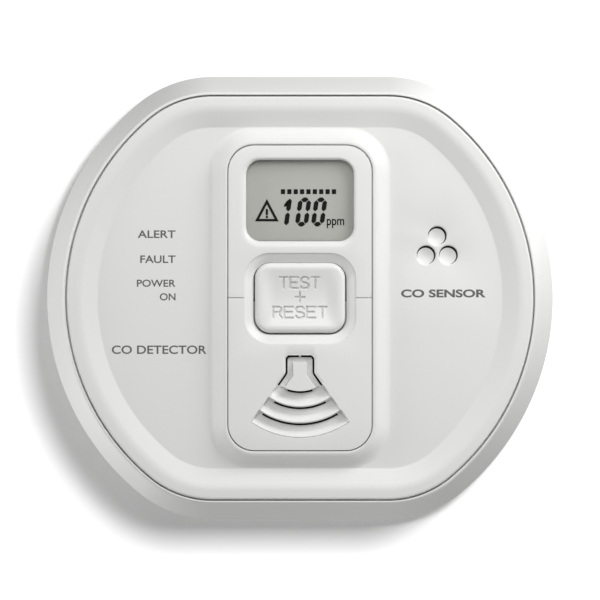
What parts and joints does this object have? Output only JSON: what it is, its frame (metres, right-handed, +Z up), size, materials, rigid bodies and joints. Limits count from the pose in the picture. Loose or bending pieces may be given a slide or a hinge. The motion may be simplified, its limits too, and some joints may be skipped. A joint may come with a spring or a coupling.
{
  "type": "carbon monoxide detector",
  "caption": "Wall-mounted carbon monoxide alarm with a display, a test button, a fan-shaped sounder grille, gas inlet holes and a hook-on wall plate.",
  "frame": {"origin": "centre of the wall plate's back face, on the wall", "axes": "+Z up the wall, +X to the right as the detector is read, +Y into the wall; the front faces -Y"},
  "size_m": [0.12, 0.044, 0.105],
  "materials": {
    "plate_plastic": "moulded, satin",
    "housing_plastic": "fine moulded texture",
    "panel_plastic": "fine moulded texture",
    "button_plastic": "fine moulded texture",
    "clear_window": "clear, polished",
    "lcd": "grey display",
    "black_plastic": "moulded",
    "black_rubber": "matt",
    "brown_plastic": "moulded",
    "board": "solder mask",
    "steel": "plated",
    "gold_pins": "plated",
    "grey_plastic": "moulded",
    "carbon_felt": "felt",
    "grey_rubber": "matt",
    "pale_mesh": "fine screen",
    "brass": "rolled",
    "ceramic": "silvered ceramic",
    "black_cloth": "acoustic cloth",
    "blue_film": "shrink film",
    "red_lamp": "clear red",
    "amber_lamp": "clear amber",
    "green_lamp": "clear green",
    "clear_plastic": "clear, polished",
    "chip_plastic": "moulded",
    "copper_coil": "enamelled wire",
    "capacitor_sleeve": "sleeve",
    "chip_ceramic": "sintered",
    "label_film": "blank film"
  },
  "bodies": {
    "wall_plate": {"mounting_plate": "plate_plastic"},
    "detector": {"rear_housing": "housing_plastic", "front_cover": "housing_plastic", "display_bezel": "panel_plastic", "grille_panel": "panel_plastic", "display_window": "clear_window", "lcd_glass": "lcd", "lcd_holder": "black_plastic", "contact_strips": "black_rubber", "switch_body": "black_plastic", "circuit_board": "board", "housing_screws": "steel", "board_screws": "steel", "sensor_cell": "steel", "sensor_pins": "gold_pins", "sensor_cap": "grey_plastic", "sensor_filter": "carbon_felt", "sensor_gasket": "grey_rubber", "gas_screen": "pale_mesh", "sounder_chamber": "grey_plastic", "sounder_disc": "brass", "sounder_ceramic": "ceramic", "sounder_contacts": "gold_pins", "sounder_cloth": "black_cloth", "battery_cell": "steel", "battery_sleeve": "blue_film", "battery_tabs": "steel", "battery_cradle": "black_plastic", "alarm_led": "red_lamp", "fault_led": "amber_lamp", "power_led": "green_lamp", "light_guides": "clear_plastic", "controller_chip": "chip_plastic", "amplifier_chip": "chip_plastic", "boost_coil": "copper_coil", "capacitors": "capacitor_sleeve", "chip_parts": "chip_ceramic", "timing_crystal": "steel", "test_header": "black_plastic", "power_switch": "steel", "rating_label": "label_film"},
    "button": {"test_button": "button_plastic"},
    "plunger": {"switch_plunger": "brown_plastic"},
    "slider": {"power_slider": "grey_plastic"}
  },
  "joints": [
    {"name": "detector_slide", "type": "slide", "parent": "wall_plate", "child": "detector", "axis": [0, 0, 1], "range_m": [0, 0.01]},
    {"name": "button_press", "type": "hinge", "parent": "detector", "child": "button", "pos_m": [0, -0.039, 0.0098], "axis": [1, 0, 0], "range_deg": [0, 3], "stiffness_Nm_per_rad": 0.6, "springref_deg": -1.15},
    {"name": "switch_press", "type": "slide", "parent": "detector", "child": "plunger", "axis": [0, 1, 0], "range_m": [0, 0.0006]},
    {"name": "power_slide", "type": "slide", "parent": "detector", "child": "slider", "axis": [1, 0, 0], "range_m": [0, 0.003]}
  ],
  "couplings": [
    {"joint": "switch_press", "follows": "button_press", "m_per_rad": 0.0098}
  ]
}
